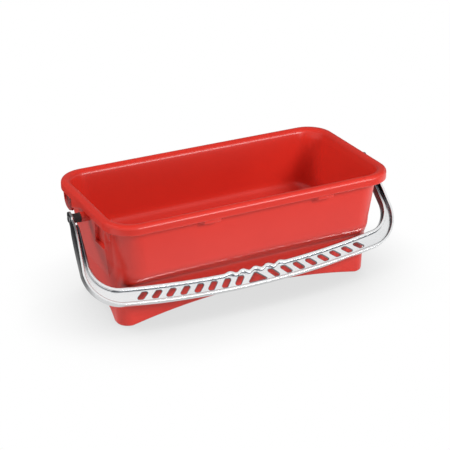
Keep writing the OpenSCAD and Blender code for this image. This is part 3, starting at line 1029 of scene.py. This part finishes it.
@dataclass
class Handle:
    """The carry handle: strap, web with slots, and inner edge with finger waves. Sizes in millimetres."""

    pivot_z: float = 163.0
    rest_angle: float = 44.52
    strap_t: float = 4.0
    grip_t: float = 5.0
    grip_end_t: float = 2.0
    grip_taper: Point = (4, 30)
    web_t: float = 3.0
    depth: float = 14.0
    bar_w: float = 27.5
    bar_in: float = 129.48
    bar_bow: float = 13.0
    bar_span: float = 203.0
    arm_in_x: float = 265.0
    arm_flare: float = 9.0
    arm_w: float = 15.0
    arm_taper: float = 13.0
    arm_taper_l: float = 6.0
    arm_lean: float = 4.0
    arm_tip: float = 1.0
    arm_depth: float = 25.0
    arm_swell: Point = (-110, -40)
    arm_narrow: Point = (-26, 0)
    flare_from: float = 12.5
    arm_top: float = 12.0
    bend_out_r: float = 62.0
    bend_in_r: float = 44.0
    eye_r: float = 8.5
    bore_r: float = 4.05
    bore_lead: float = 1.4
    slot_pitch: float = 23.4
    slot_first: float = 30.5
    slot_n: int = 8
    slot_w: float = 11.5
    slot_l: float = 14.0
    slot_end_l: float = 11.5
    slot_lean: float = 40.0
    slot_r: float = 2.5
    tri_w: float = 36.0
    tri_top_w: float = 3.4
    tri_r: float = 1.5
    finger_pitch: float = 22.4
    finger_h: float = 4.0
    finger_rise: float = 2.5
    finger_n: int = 5
    edge_r: float = 0.9
    fillet: float = 0.35
    ring_w: float = 1.0
    ring_d: float = 0.5

    def __post_init__(self) -> None:
        """Work out the bar's arc and the places of the arms."""
        self.arm_out_x = self.arm_in_x + self.strap_t
        self.bend_x = self.arm_out_x + self.arm_flare
        self.arm_low_x = self.bend_x - self.arm_w
        self.in_r = (self.bar_span**2 + self.bar_bow**2) / (2 * self.bar_bow)
        self.centre = self.bar_in + self.bar_bow - self.in_r
        self.out_r = self.in_r + self.bar_w
        self.web_r = self.in_r + (self.grip_t + self.bar_w - self.strap_t) / 2

    def place(self) -> Matrix:
        """Matrix from the handle's flat drawing to where it hangs at rest."""
        turn = Matrix.Rotation(math.pi / 2 - math.radians(self.rest_angle), 4, "X")
        return Matrix.Translation((0, 0, self.pivot_z * MM)) @ turn

    def wave(self, x: np.ndarray) -> np.ndarray:
        """How far the finger waves stand above the bar's inner edge."""
        x = np.abs(x)
        end = (self.finger_n - 1) / 2 * self.finger_pitch
        turn = 2 * math.pi / self.finger_pitch
        inside = self.finger_rise - self.finger_h * (1 - np.cos(turn * x)) / 2
        fade = self.finger_rise * (1 + np.cos(turn * (x - end))) / 2
        return np.where(x <= end, inside, np.where(x >= end + self.finger_pitch / 2, 0, fade))

    def path(self, r: float, x: float, bend: float, tip: Sequence[Point], wavy: bool = False) -> np.ndarray:
        """Line along the handle, from the top of the left arm to the top of the right one.

        Args:
            r: Radius of the bar's arc there.
            x: Distance of the arm from the middle at the bend.
            bend: Radius of the bend.
            tip: Points that end the right arm, as (x, distance from the pivot).
            wavy: Whether the finger waves are followed.

        Returns:
            Points as (x, -distance from the pivot).
        """
        cx = x - bend
        cy = self.centre + math.sqrt((r - bend) ** 2 - cx**2)
        a_end = math.atan2(cx, cy - self.centre)
        a = np.linspace(0, a_end, BAR_STEPS)
        bar = np.column_stack([r * np.sin(a), self.centre + r * np.cos(a)])
        if wavy:
            bar[:, 1] -= self.wave(bar[:, 0])
        b = np.linspace(a_end, math.pi / 2, BEND_STEPS + 1)[1:]
        turn = np.column_stack([cx + bend * np.sin(b), cy + bend * np.cos(b)])
        arm = [turn[-1]]
        for end in tip:
            leg = np.array(end) - arm[-1]
            arm += [arm[-1] + leg * t for t in np.linspace(0, 1, ARM_STEPS + 1)[1:]]
        half = np.concatenate([bar, turn, arm[1:]])
        first = BAR_STEPS + BEND_STEPS
        for _ in range(3):
            half[first + 1:-1] = (half[first:-2] + 2 * half[first + 1:-1] + half[first + 2:]) / 4
        half[:, 1] *= -1
        return np.concatenate([half[:0:-1] * (-1, 1), half])

    def outer_line(self, *heights: float) -> np.ndarray:
        """Middle line of the strap, with its arms going up through distances from the pivot."""
        t = self.strap_t / 2
        tip = [(self.arm_in_x + t, height) for height in heights]
        return self.path(self.out_r - t, self.bend_x - t, self.bend_out_r - t, tip)

    def grip_line(self) -> np.ndarray:
        """Middle line of the inner edge."""
        t = self.grip_t / 2
        x = self.arm_in_x - self.arm_lean
        tip = [(x, self.arm_taper + self.arm_taper_l), (x + self.arm_tip, self.arm_taper)]
        return self.path(self.in_r + t, self.arm_low_x + t, self.bend_in_r + t, tip, wavy=True)

    def sweep(self, name: str, line: np.ndarray, half_t: np.ndarray, half_d: np.ndarray) -> Obj:
        """Sweep a strip with rounded edges along a line.

        Args:
            name: Name of the object.
            line: Points of the line.
            half_t: Half thickness of the strip at each point.
            half_d: Half depth of the strip at each point, square to the drawing.

        Returns:
            The strip, in the handle's flat drawing.
        """
        steps, most = 6, 0.95
        turn = np.radians(np.linspace(0, 90, steps))
        a = np.concatenate([turn + q * math.pi / 2 for q in range(4)])
        bend = np.column_stack([np.cos(a), np.sin(a)])
        corner = np.repeat(((1, 1), (-1, 1), (-1, -1), (1, -1)), steps, axis=0)
        rings = []
        for p, n, t, deep in zip(line, sideways(line), half_t, half_d):
            r = min(self.edge_r, t * most, deep * most)
            loop = corner * (np.array((t, deep)) - r) + bend * r
            rings.append(np.column_stack([p + np.outer(loop[:, 0], n), loop[:, 1]]))
        return loft(name, rings)

    def web(self) -> Obj:
        """Web between strap and inner edge, with a fillet along the strap and a groove along the edge."""
        outer = self.outer_line(self.arm_taper + self.arm_taper_l, self.arm_taper)
        rings = []
        for a, b in list(zip(self.grip_line(), outer))[ARM_STEPS:-ARM_STEPS]:
            width = max(float(np.linalg.norm(b - a)), WEB_LEAST)
            scale = min(1.0, width / WEB_FULL)
            d = np.concatenate([WEB_NEAR * scale, [width / 2], width - WEB_FAR * scale])
            reach = np.clip(self.fillet + self.strap_t / 2 + d - width, 0, self.fillet)
            h = self.web_t / 2 + self.fillet - np.sqrt(self.fillet**2 - reach**2)
            h[: len(WEB_NEAR) - 1] -= self.ring_d
            p = a + (b - a) * (d / width)[:, None]
            rings.append(np.concatenate([np.column_stack([p, h]), np.column_stack([p, -h])[::-1]]))
        return loft("web", rings)

    def eyes(self) -> list[Obj]:
        """Round eye at the pivot of each arm, in the flat drawing."""
        x0, x1, r, e = self.arm_in_x, self.arm_out_x, self.eye_r, self.edge_r
        q = 0.25 * e
        profile = [
            (AXIS, x0), (r - e, x0), (r - q, x0 + q), (r, x0 + e), (r, x1 - e), (r - q, x1 - q), (r - e, x1),
            (AXIS, x1),
        ]
        return [lathe("eye", profile, side, 0.0) for side in Side]

    def bores(self) -> list[Obj]:
        """Cutter for the bore of each eye, with a small countersink on both faces."""
        x0, x1, b = self.arm_in_x, self.arm_out_x, self.bore_r
        wide, past, sunk = b + self.bore_lead, 1.0, 0.4
        profile = [
            (AXIS, x0 - past), (wide, x0 - past), (b, x0 + sunk), (b, x1 - sunk), (wide, x1 + past),
            (AXIS, x1 + past),
        ]
        return [lathe("bore", profile, side, 0.0) for side in Side]

    def build(self, material: Material) -> Obj:
        """Build the handle as one closed mesh where it hangs at rest.

        Args:
            material: Material that its node tree sets.

        Returns:
            The handle's object.
        """
        web = self.web()
        SlotRow(self, material).cut(web)
        full, least = self.depth / 2, 0.03
        line = self.outer_line(self.flare_from, full - self.arm_top, -self.arm_top)
        y = line[:, 1]
        above = np.clip((y - (self.arm_top - full)) / full, 0, 1)
        swell = smoothstep(*self.arm_swell, y) * (1 - smoothstep(*self.arm_narrow, y))
        deep = full + (self.arm_depth / 2 - full) * swell
        tip_d = deep * np.sqrt(np.clip(1 - above**2, least, 1))
        strap = self.sweep("strap", line, np.full(len(line), self.strap_t / 2), tip_d)
        line = self.grip_line()
        count = np.arange(len(line))
        ends = smoothstep(*self.grip_taper, np.minimum(count, count[::-1]))
        grip_t = (self.grip_end_t + (self.grip_t - self.grip_end_t) * ends) / 2
        grip = self.sweep("grip", line, grip_t, np.full(len(line), full))
        combine(strap, [grip, web, *self.eyes()], Join.UNION)
        combine(strap, self.bores(), Join.CUT)
        strap.name = strap.data.name = "handle_moulding"
        finish_surface(strap)
        self.shade_walls(strap.data)
        strap.data.transform(self.place())
        return strap

    def shade_walls(self, mesh: Mesh) -> None:
        """Note where shade is painted on the handle: walls, the rings round the slots and the groove along
        its inner edge, the arms' insides, less on its underside.

        Args:
            mesh: Mesh in the handle's flat drawing. It gets the corner attribute wall_shade.
        """
        facing, level, same, gap = 0.2, 0.9, 0.02, 0.1
        strap_from, bend_from, arm_reach, flare_l = 6, 240, 12, 77
        wall_tilt, lit_drop, arm_dark, lit = (0.1, 0.7), (35, 85), (-92, -62), 0.85
        verts = read(mesh.loops, "vertex_index", np.int32)
        nx, ny, nz = read(mesh.corner_normals, "vector", np.float32, 3).T
        x, y, z = (read(mesh.vertices, "co", np.float32, 3)[verts] / MM).T
        far, flat = np.abs(x), np.abs(nz)
        # Painted shade: walls darken, less on faces that look down or outward low on the handle.
        shade = smoothstep(*wall_tilt, 1 - flat)
        below = (np.hypot(x, y + self.centre) > self.web_r + strap_from) & (ny < -facing)
        beside = (far > bend_from) & (nx * np.sign(x) > facing)
        shade *= 1 - lit * (below | beside) * smoothstep(*lit_drop, -y)
        strap_in = self.arm_in_x + self.arm_flare * np.clip((-y - self.flare_from) / flare_l, 0, 1)
        inside = (far < strap_in - gap) & (far > self.arm_low_x - arm_reach)
        # Painted shade on the arms' insides near their tops; the ring floors round the slots and the groove
        # along the inner edge are painted fully dark.
        shade = np.maximum(shade, inside * smoothstep(*arm_dark, y))
        ring = np.abs(np.abs(z) - (self.web_t / 2 - self.ring_d)) < same
        note(mesh, "wall_shade", np.where(ring & (flat > level), 1.0, shade))


@dataclass
class SlotRow:
    """Leaning slots along both halves of the bar and the triangle in its middle, cut by a node tree.

    Attributes:
        handle: Handle that they are cut in.
        material: Material that the tree sets.
        past: How far the cutters reach to both sides of the web's middle, in millimetres.
        corner_steps: Points that round a corner.
        lean_grow: Growth of a slot's width for a ring of 1, along its leaning sides.
        tri_grow: Growth of the triangle's base and of its top for a ring of 1.
    """

    handle: Handle
    material: Material
    past: float = 7.0
    corner_steps: int = 5
    lean_grow: float = 2.4
    tri_grow: Point = (3.6, 1.4)

    def prism(self, s: GeometrySheet, outline: Node, radius: float, span: Point) -> Node:
        """Closed prism from a curve, its corners rounded.

        Args:
            s: Tree that it is built in.
            outline: Node that gives the closed curve.
            radius: Corner radius, in millimetres.
            span: Lowest and highest place of the prism, in millimetres.

        Returns:
            Node that gives the prism.
        """
        corners = {"Curve": outline, "Count": self.corner_steps, "Radius": radius * MM}
        curve = s.add("GeometryNodeFilletCurve", corners, mode="POLY")
        fill = s.add("GeometryNodeFillCurve", {"Curve": curve}, mode="NGONS")
        deep = s.xyz(Z=(span[1] - span[0]) * MM)
        grow = s.add("GeometryNodeExtrudeMesh", {"Mesh": fill, "Offset": deep, "Individual": False})
        both = s.join(grow, s.add("GeometryNodeFlipFaces", {0: fill}))
        weld = s.add("GeometryNodeMergeByDistance", {"Geometry": both, "Distance": WELD_CUT})
        return s.add("GeometryNodeTransform", {"Geometry": weld, "Translation": (0, 0, span[0] * MM)})

    def half_row(self, s: GeometrySheet, side: Side, grow: float, span: Point) -> Node:
        """Slots along one half of the bar.

        Args:
            s: Tree that they are built in.
            side: Half of the bar.
            grow: How much wider than the slot the outline is, on each side.
            span: Lowest and highest place of the cutters.

        Returns:
            Node that gives the slots as instances.
        """
        h, given = self.handle, s.given
        radius = given["Bar radius"]
        shear = -side.value * (h.slot_l + 2 * grow) * math.tan(math.radians(h.slot_lean)) * MM
        outline = s.add("GeometryNodeCurvePrimitiveQuadrilateral", {
            "Width": s.math("ADD", given["Width"], self.lean_grow * grow * MM),
            "Height": s.math("ADD", given["Length"], 2 * grow * MM),
            "Offset": shear,
        }, mode="PARALLELOGRAM")
        index = s.add("GeometryNodeInputIndex").outputs[0]
        along = s.math("ADD", s.math("MULTIPLY", index, given["Pitch"]), given["First"])
        angle = s.math("MULTIPLY", s.math("ARCSINE", s.math("DIVIDE", along, radius)), side.value)
        x = s.math("MULTIPLY", s.math("SINE", angle), radius)
        drop = s.math("MULTIPLY", s.math("COSINE", angle), radius)
        y = s.math("MULTIPLY", s.math("ADD", drop, given["Bar centre"]), -1.0)
        share = s.math("DIVIDE", index, h.slot_n - 1)
        shrink = s.math("SUBTRACT", 1.0, s.math("MULTIPLY", share, 1 - h.slot_end_l / h.slot_l))
        return s.add("GeometryNodeInstanceOnPoints", {
            "Points": s.add("GeometryNodePoints", {"Count": given["Count"], "Position": s.xyz(X=x, Y=y)}),
            "Instance": self.prism(s, outline, h.slot_r + grow, span),
            "Rotation": s.xyz(Z=angle),
            "Scale": s.xyz(X=1.0, Y=shrink, Z=1.0),
        })

    def triangle(self, s: GeometrySheet, grow: float, span: Point) -> Node:
        """Triangle in the middle of the bar, pointing at the fingers; grow and span as for the slots."""
        h = self.handle
        wide, narrow = self.tri_grow
        outline = s.add("GeometryNodeCurvePrimitiveQuadrilateral", {
            "Height": (h.slot_l + 2 * grow) * MM,
            "Bottom Width": (h.tri_w + wide * grow) * MM,
            "Top Width": (h.tri_top_w + narrow * grow) * MM,
            "Offset": 0.0,
        }, mode="TRAPEZOID")
        return s.add("GeometryNodeTransform", {
            "Geometry": self.prism(s, outline, h.tri_r + grow / 2, span),
            "Translation": (0, -(h.centre + h.web_r) * MM, 0),
        })

    def cut(self, web: Obj) -> None:
        """Cut the openings and the rings round them out of the web.

        Args:
            web: Web in the handle's flat drawing.
        """
        h, past, number = self.handle, self.past, "NodeSocketFloat"
        s = GeometrySheet("slot_row", {
            "Count": ("NodeSocketInt", h.slot_n),
            "Pitch": (number, h.slot_pitch * MM),
            "First": (number, h.slot_first * MM),
            "Width": (number, h.slot_w * MM),
            "Length": (number, h.slot_l * MM),
            "Bar radius": (number, h.web_r * MM),
            "Bar centre": (number, h.centre * MM),
            "Material": ("NodeSocketMaterial", self.material),
        })
        ring = h.web_t / 2 - h.ring_d
        made = s.given["Geometry"]
        for grow, span in ((0.0, (-past, past)), (h.ring_w, (ring, past)), (h.ring_w, (-past, -ring))):
            rows = [self.half_row(s, side, grow, span) for side in Side]
            cutters = s.join(*rows, self.triangle(s, grow, span))
            real = s.add("GeometryNodeRealizeInstances", {0: cutters})
            solids = {"Mesh 1": made, "Mesh 2": real}
            made = s.add("GeometryNodeMeshBoolean", solids, operation="DIFFERENCE", solver="MANIFOLD")
        s.run(web, made)


# Pivots


@dataclass
class Pivot:
    """Headed pin and spacer at one end. Sizes in millimetres."""

    side: Side
    pivot_z: float = 163.0
    pin_r: float = 4.0
    head_r: float = 5.5
    pin_start: float = 235.7
    head_start: float = 269.3
    head_end: float = 271.3
    spacer_r: float = 8.0
    spacer_bore: float = 4.15
    spacer: Point = (251.7, 264.7)

    def pin(self) -> Obj:
        """Pin with a chamfered end and a domed, dimpled head."""
        r, h, start, x, top = self.pin_r, self.head_r, self.pin_start, self.head_start, self.head_end
        profile = [
            (AXIS, start), (r - 0.6, start), (r, start + 0.6), (r, x), (h - 0.3, x), (h, x + 0.3),
            (h, x + 0.7), (h - 0.2, x + 1.1), (h - 0.7, x + 1.5), (h - 1.5, x + 1.8), (h - 2.6, top - 0.04),
            (2.2, top), (1.8, top - 0.1), (1.3, top - 0.4), (0.7, top - 0.5), (AXIS, top - 0.52),
        ]
        return lathe(f"pin_{self.side.name.lower()}", profile, self.side, self.pivot_z)

    def spacer_sleeve(self) -> Obj:
        """Spacer with rounded rims and a shallow waist."""
        r, b, (x0, x1) = self.spacer_r, self.spacer_bore, self.spacer
        mid = (x0 + x1) / 2
        rim = [(0.6, 0), (0.15, 0.15), (0, 0.6), (0, 1.4), (0.5, 1.9)]
        profile = [
            (b + 0.4, x0), *((r - d, x0 + e) for d, e in rim), (r - 0.6, mid),
            *((r - d, x1 - e) for d, e in rim[::-1]), (b + 0.4, x1), (b, x1 - 0.4), (b, x0 + 0.4),
        ]
        return lathe(f"spacer_{self.side.name.lower()}", profile, self.side, self.pivot_z)

    def build(self, steel: Material, shade_black: Material) -> None:
        """Build and dress the pin and the spacer.

        Args:
            steel: Material of the pin.
            shade_black: Material of the spacer, nearly black as painted shade.
        """
        name = self.side.name.lower()
        pin, sleeve = self.pin(), self.spacer_sleeve()
        for piece in (pin, sleeve):
            finish_surface(piece)
        dress(pin, steel, Slot.PIN, "bucket", f"pivot_pin_{name}")
        dress(sleeve, shade_black, Slot.SPACER, "bucket", f"pivot_spacer_{name}")


# Studio


def face(obj: Obj, along: Vector) -> None:
    """Turn a lamp or a camera to look along a direction."""
    obj.rotation_mode = "QUATERNION"
    obj.rotation_quaternion = along.to_track_quat("-Z", "Y")


@dataclass
class Softbox:
    """An area lamp aimed at the bucket; it may light surfaces, show in their gloss, or both."""

    name: str
    place: Place
    size: Point
    power: float
    shines: bool = False
    lights: bool = True
    aim: Place = (0.0, 0.0, 0.11)

    def build(self) -> None:
        """Build the lamp."""
        data = bpy.data.lights.new(self.name, "AREA")
        data.shape = "RECTANGLE"
        data.size, data.size_y = self.size
        data.energy = self.power
        lamp = add_object(self.name, data)
        lamp.location = self.place
        lamp.visible_glossy = self.shines
        lamp.visible_diffuse = self.lights
        face(lamp, Vector(self.aim) - Vector(self.place))


@dataclass
class Studio:
    """Camera, pale floor, white surroundings, grey cloths and soft lamps. Metres and degrees."""

    azimuth: float = 27.17
    elevation: float = 25.05
    distance: float = 2.2527
    target_z: float = 0.19
    drop: float = 0.0852
    lens: float = 112.0
    sensor: float = 36.0
    sky_light: float = 0.1
    cloth_light: float = 0.2
    reflection_darkening: float = 0.94
    floor_half: float = 6.0
    floor_tone: float = 0.75
    shade_reach: float = 0.16
    shade_samples: int = 16
    shade_from: Point = (0.35, 0.95)
    shade_to: Point = (0.72, 1.0)

    def camera(self) -> None:
        """Place the camera at the photograph's angle."""
        a, e = math.radians(self.azimuth), math.radians(self.elevation)
        back = Vector((-math.sin(a) * math.cos(e), -math.cos(a) * math.cos(e), math.sin(e)))
        up = Vector((math.sin(a) * math.sin(e), math.cos(a) * math.sin(e), math.cos(e)))
        data = bpy.data.cameras.new("photo_camera")
        data.sensor_width = self.sensor
        data.lens = self.lens
        cam = add_object("photo_camera", data)
        cam.location = Vector((0, 0, self.target_z)) + back * self.distance - up * self.drop
        face(cam, -back)
        bpy.context.scene.camera = cam

    @staticmethod
    def seen_ray(s: NodeSheet) -> Socket:
        """Mask of rays that show the background: camera, glossy and transmission rays."""
        path = s.add("ShaderNodeLightPath").outputs
        seen = s.math("MAXIMUM", path["Is Camera Ray"], path["Is Glossy Ray"])
        return s.math("MAXIMUM", seen, path["Is Transmission Ray"])

    def world(self) -> None:
        """White surroundings for rays that see them, softer as a light."""
        world = bpy.data.worlds.new("white_studio")
        s = bare_sheet(world)
        strength = s.math("MULTIPLY_ADD", self.seen_ray(s), 1.0 - self.sky_light, self.sky_light)
        sky = s.add("ShaderNodeBackground", {"Color": (1, 1, 1, 1), "Strength": strength})
        s.add("ShaderNodeOutputWorld", {"Surface": sky})
        bpy.context.scene.world = world

    @staticmethod
    def sheet(name: str, material: Material, *corners: Place) -> Obj:
        """Lay a flat sheet that isn't part of the object.

        Args:
            name: Name of the sheet.
            material: Its material.
            *corners: Its four corners.

        Returns:
            The sheet's object.
        """
        mesh = bpy.data.meshes.new(name)
        mesh.from_pydata(corners, [], [(0, 1, 2, 3)])
        mesh.materials.append(material)
        obj = add_object(name, mesh)
        return obj

    def floor(self) -> None:
        """Wide pale floor that is white to the eye and darkens where the bucket stands."""
        material = bpy.data.materials.new("pale_floor")
        s = bare_sheet(material)
        # The bucket's shadow on the floor is painted into the floor's glow from ambient occlusion.
        reach = {"Distance": self.shade_reach}
        near = s.add("ShaderNodeAmbientOcclusion", reach, samples=self.shade_samples)
        (from_min, from_max), (to_min, to_max) = self.shade_from, self.shade_to
        shade = s.add("ShaderNodeMapRange", {
            "Value": near.outputs["AO"], "From Min": from_min, "From Max": from_max, "To Min": to_min,
            "To Max": to_max,
        })
        # Painted reflection: glossy rays see the floor darker in these zones, the camera does not.
        glossy = s.add("ShaderNodeLightPath").outputs["Is Glossy Ray"]
        dark = s.math("MULTIPLY", self.painted_dark_reflection(s), glossy)
        lit = s.math("SUBTRACT", 1.0, s.math("MULTIPLY", dark, self.reflection_darkening))
        glow = s.add("ShaderNodeEmission", {"Strength": s.math("MULTIPLY", shade, lit)})
        matte = s.add("ShaderNodeBsdfDiffuse", {"Color": (*[self.floor_tone] * 3, 1)})
        mix = s.add("ShaderNodeMixShader", {0: self.seen_ray(s), 1: matte, 2: glow})
        s.add("ShaderNodeOutputMaterial", {"Surface": mix})
        h = self.floor_half
        self.sheet("studio_floor", material, (-h, -h, 0), (h, -h, 0), (h, h, 0), (-h, h, 0))

    @staticmethod
    def painted_dark_reflection(s: NodeSheet) -> Socket:
        """Mask of the floor by the left end, well in front and behind, where a darker floor is painted for
        reflections only.
        """
        place = s.add("ShaderNodeTexCoord").outputs["Object"]
        split = s.add("ShaderNodeSeparateXYZ", {0: place}).outputs
        x, y = split["X"], split["Y"]
        steps = s.math("ADD", s.ramp(x, -0.2, -0.25), s.ramp(x, -0.32, -0.39))
        left = s.math("MULTIPLY", s.math("MULTIPLY", steps, 0.5), s.ramp(y, -0.05, 0.04))
        far = s.math("MAXIMUM", s.ramp(y, -0.3, -0.42), s.ramp(y, 0.24, 0.34))
        return s.math("MAXIMUM", s.math("POWER", left, 0.45), far)

    def card(self, name: str, *corners: Place) -> None:
        """Grey cloth by the scene that only reflections see, to keep gloss from hazing over.

        Args:
            name: Name of the cloth.
            *corners: Its four corners.
        """
        material = bpy.data.materials.new(f"{name}_cloth")
        s = bare_sheet(material)
        glow = s.add("ShaderNodeEmission", {"Strength": self.cloth_light})
        s.add("ShaderNodeOutputMaterial", {"Surface": glow})
        obj = self.sheet(name, material, *corners)
        obj.visible_camera = obj.visible_diffuse = obj.visible_shadow = obj.visible_transmission = False

    def build(self) -> None:
        """Build the studio."""
        bpy.context.scene.view_settings.view_transform = "Standard"
        self.camera()
        self.world()
        self.floor()
        self.card("grey_canopy", (-1.2, -0.28, 0.62), (2.0, -0.28, 0.62), (2.0, 1.8, 0.62), (-1.2, 1.8, 0.62))
        self.card("grey_flag", (-2.6, 1.5, 0.0), (2.2, 1.5, 0.0), (2.2, 1.5, 0.9), (-2.6, 1.5, 0.9))
        for lamp in (
            Softbox("front_softbox", (1.0, -1.8, 1.36), (0.8, 0.8), 47.0),
            Softbox("left_softbox", (-1.4, 0.4, 1.6), (1.0, 1.0), 30.0),
            Softbox("low_left", (-1.95, -0.5, 0.34), (1.6, 0.3), 4.0),
            Softbox("low_front", (0.3, -2.2, 0.3), (1.8, 0.4), 4.0),
            Softbox("gleam_strip", (0.85, -2.1, 0.5), (1.2, 0.4), 24.0, shines=True, lights=False),
        ):
            lamp.build()


def main() -> None:
    """Build the bucket, its handle and its pivots, and the studio round them."""
    logging.basicConfig(level=logging.INFO, format="%(name)s: %(message)s")
    effects = SharedEffects()
    paint: dict[Slot, Material] = {
        finish.slot: finish.build(effects) for finish in (RED_PLASTIC, BRIGHT_SILVER, PIN_STEEL, SPACER_SHADE_BLACK)
    }
    bucket = Bucket().build(paint[Slot.BUCKET])
    dress(bucket, paint[Slot.BUCKET], Slot.BUCKET, "bucket", "bucket_body")
    handle = Handle().build(paint[Slot.HANDLE])
    dress(handle, paint[Slot.HANDLE], Slot.HANDLE, "handle", "carry_handle")
    for side in Side:
        Pivot(side).build(paint[Slot.PIN], paint[Slot.SPACER])
    Studio().build()


if __name__ == "__main__":
    main()
